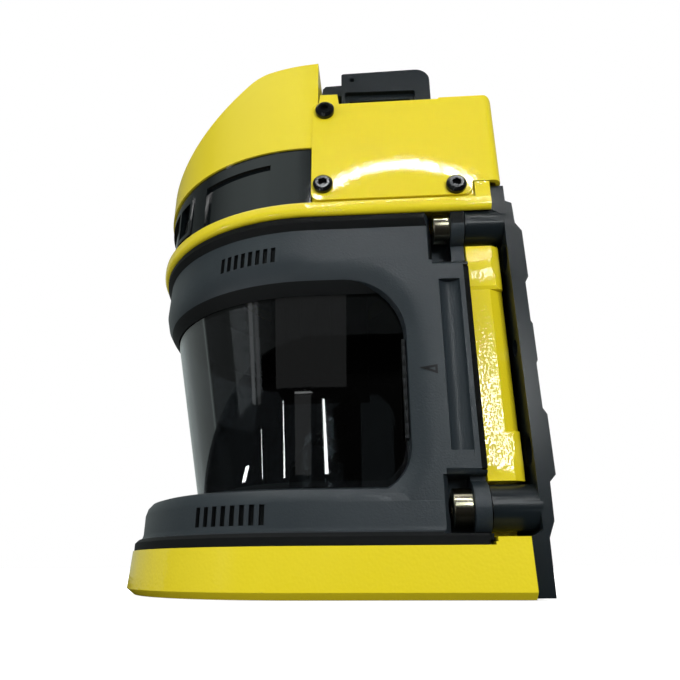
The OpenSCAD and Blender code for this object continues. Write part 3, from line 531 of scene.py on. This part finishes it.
for side in (1, -1):
    bpy.ops.object.select_all(action="DESELECT")
    bpy.ops.mesh.primitive_circle_add(vertices=3, radius=MARK_RADIUS, fill_type="NGON")
    mark = bpy.context.object
    mark.name = "panel_mark_" + ("right" if side > 0 else "left")
    mark_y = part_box("window_frame")[1].y - MARK_FROM_REAR
    mark.data.transform(Matrix(((0, 0, side, side * PANEL_X), (0, -1, 0, mark_y),
                                (MARK_HEIGHT, MARK_LEAN, 0, MARK_Z), (0, 0, 0, 1))))
    bpy.ops.object.mode_set(mode="EDIT")
    bpy.ops.mesh.select_all(action="SELECT")
    bpy.ops.mesh.inset(thickness=MARK_LINE)
    bpy.ops.mesh.delete(type="FACE")
    bpy.ops.mesh.select_all(action="SELECT")
    bpy.ops.mesh.extrude_region_move(TRANSFORM_OT_translate={"value": (side * INK, 0, 0)})
    bpy.ops.mesh.select_all(action="SELECT")
    bpy.ops.mesh.normals_make_consistent(inside=False)
    bpy.ops.object.mode_set(mode="OBJECT")
    mark.data.materials.append(matt_black)
    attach(mark, "housing")

# ---- Scan window -----------------------------------------------------------------
# Cone of infrared-pass polycarbonate, injection moulded. The frame clamps it
# against a rubber seal at its top and bottom.

# smoked: nearly black to the eye, glossy, with the optics faintly behind it
smoke = finish("moulded_polycarbonate_smoke", ("#434749", "#45494b"), 0.02, ior=1.585, clear=1.0)
finish_nodes(smoke, "scan_window")

# ---- Cover screws and clamp screws -----------------------------------------------
# Steel pan head screws, blackened, in the cover's sides, and nickel-plated socket
# screws that pull the front frame to the bracket's arms.

# blackened in hot salts: dark metal with small hard glints
black_oxide = finish("black_oxide_steel", ("#131517", "#191b1d"), 0.12, metallic=0.6)
# bright plating: warm silver
nickel = finish("nickel_plate_bright", ("#b0aa94", "#b8b29c"), 0.2, metallic=1.0)
soften("cover_screws_right", 0.0002, "black_screw", black_oxide)
soften("cover_screws_left", 0.0002, "black_screw", black_oxide)
soften("clamp_screws", 0.0003, "nickel", nickel)

# ---- Cable sockets and pins --------------------------------------------------------
# Round plug sockets of nickel-plated brass, fixed in the connector block's rear,
# with gold-plated contacts.

# plated contacts: warm yellow metal, fairly bright
gold = finish("plated_gold", ("#cea54a", "#d6ad52"), 0.2, metallic=1.0)
finish_nodes(nickel, "cable_sockets")
finish_nodes(gold, "socket_pins")

# ---- Inner screws, bearings and motor ----------------------------------------------
# Steel screws and posts that hold castings, cap, bracket and boards, and the steel
# rings of the bearings and the motor.

# zinc, passivated: dull pale metal
zinc = finish("zinc_plate_passivated", ("#b3b4ac", "#bfc0b8"), 0.3, metallic=1.0)
finish_nodes(zinc, "bottom_screws", "head_bolts", "cap_screws", "bracket_screws", "board_posts",
             "lower_bearing", "upper_bearing", "motor_stator")

# ---- Seals ---------------------------------------------------------------------------
# Silicone rubber, moulded and pressed in: round the window, along the frame's rear
# edges, and between column and bracket.

# moulded rubber: black, with no shine to speak of
rubber = finish("moulded_silicone_rubber_black", ("#060707", "#090a0a"), 0.7, ior=1.4, level=0.2)
finish_nodes(rubber, "window_seal", "side_seals", "rear_gasket")

# ---- Edge strips -----------------------------------------------------------------------
# Rubber strips beside the window, let into the frame's walls, with ribs across them.

# ribs drawn only in colour by a saw wave along Z: black rising to grey across each rib, as painted
# light and shade of the ribs
RIBS_SCALE = 110
ribbed, tree = new_material("ribbed_rubber_black")
ribs = add(tree, "ShaderNodeTexWave", {"Vector": add(tree, "ShaderNodeTexCoord").outputs["Object"],
                                       "Scale": RIBS_SCALE, "Distortion": 3.0, "Detail": 2},
           bands_direction="Z", wave_profile="SAW")
rib_light_and_shade = add(tree, "ShaderNodeMix", {"Factor": ribs.outputs["Fac"], 6: linear("#020202"),
                                   7: linear("#25282a")}, data_type="RGBA")
surface(tree, add(tree, "ShaderNodeBsdfPrincipled", {"Base Color": rib_light_and_shade.outputs[2],
                                                     "Roughness": 0.6,
                                                     "Specular IOR Level": 0.15}))
finish_nodes(ribbed, "edge_strips")

# ---- Optics carrier and cameras --------------------------------------------------------
# Aluminium block that hangs behind the window, the two cameras behind the band, and
# the encoder's light barrier, all anodised black against stray light.

# anodised: deep black with a soft metal sheen
optics_black = finish("anodised_aluminium_black", ("#0b0c0d", "#0e0f10"), 0.45)
finish_nodes(optics_black, "optics_housing", "camera_right", "camera_left", "encoder_sensor")

# ---- Rotor and laser ---------------------------------------------------------------------
# Turned aluminium spindle with the encoder disc, and the slanted mirror bonded to its
# end, which spin together. The laser's barrel is turned too.

# turned and bare: pale, fairly bright metal
aluminium = finish("turned_aluminium", ("#c5c7c8", "#cdcfd0"), 0.28, metallic=1.0)
# front-silvered: a clean mirror
silver = finish("polished_silvered_glass", ("#ebedef", "#edeff1"), 0.02, metallic=1.0)
finish_nodes(aluminium, "spindle", "laser_module", "encoder_disc")
finish_nodes(silver, "mirror_glass")

# ---- Receiver lens -----------------------------------------------------------------------
# Ground and polished glass lens, held in the optics carrier over the mirror.

# coated for infrared: near black, with a hard gloss
glass = finish("polished_optical_glass", ("#10181c", "#141c20"), 0.02, ior=1.52)
finish_nodes(glass, "receiver_lens")

# ---- Circuit boards ------------------------------------------------------------------------
# Glass-epoxy laminate, etched and printed with solder mask. The main and power
# boards stand on posts in the rear of the head; the rest sit by what they serve.

# solder mask: satin green that varies from track to track
laminate = finish("solder_masked_laminate_green", ("#1a5532", "#20603a"), 0.4, patch=0.002)
finish_nodes(laminate, "camera_board", "motor_board", "detector_board", "main_board",
             "power_board")
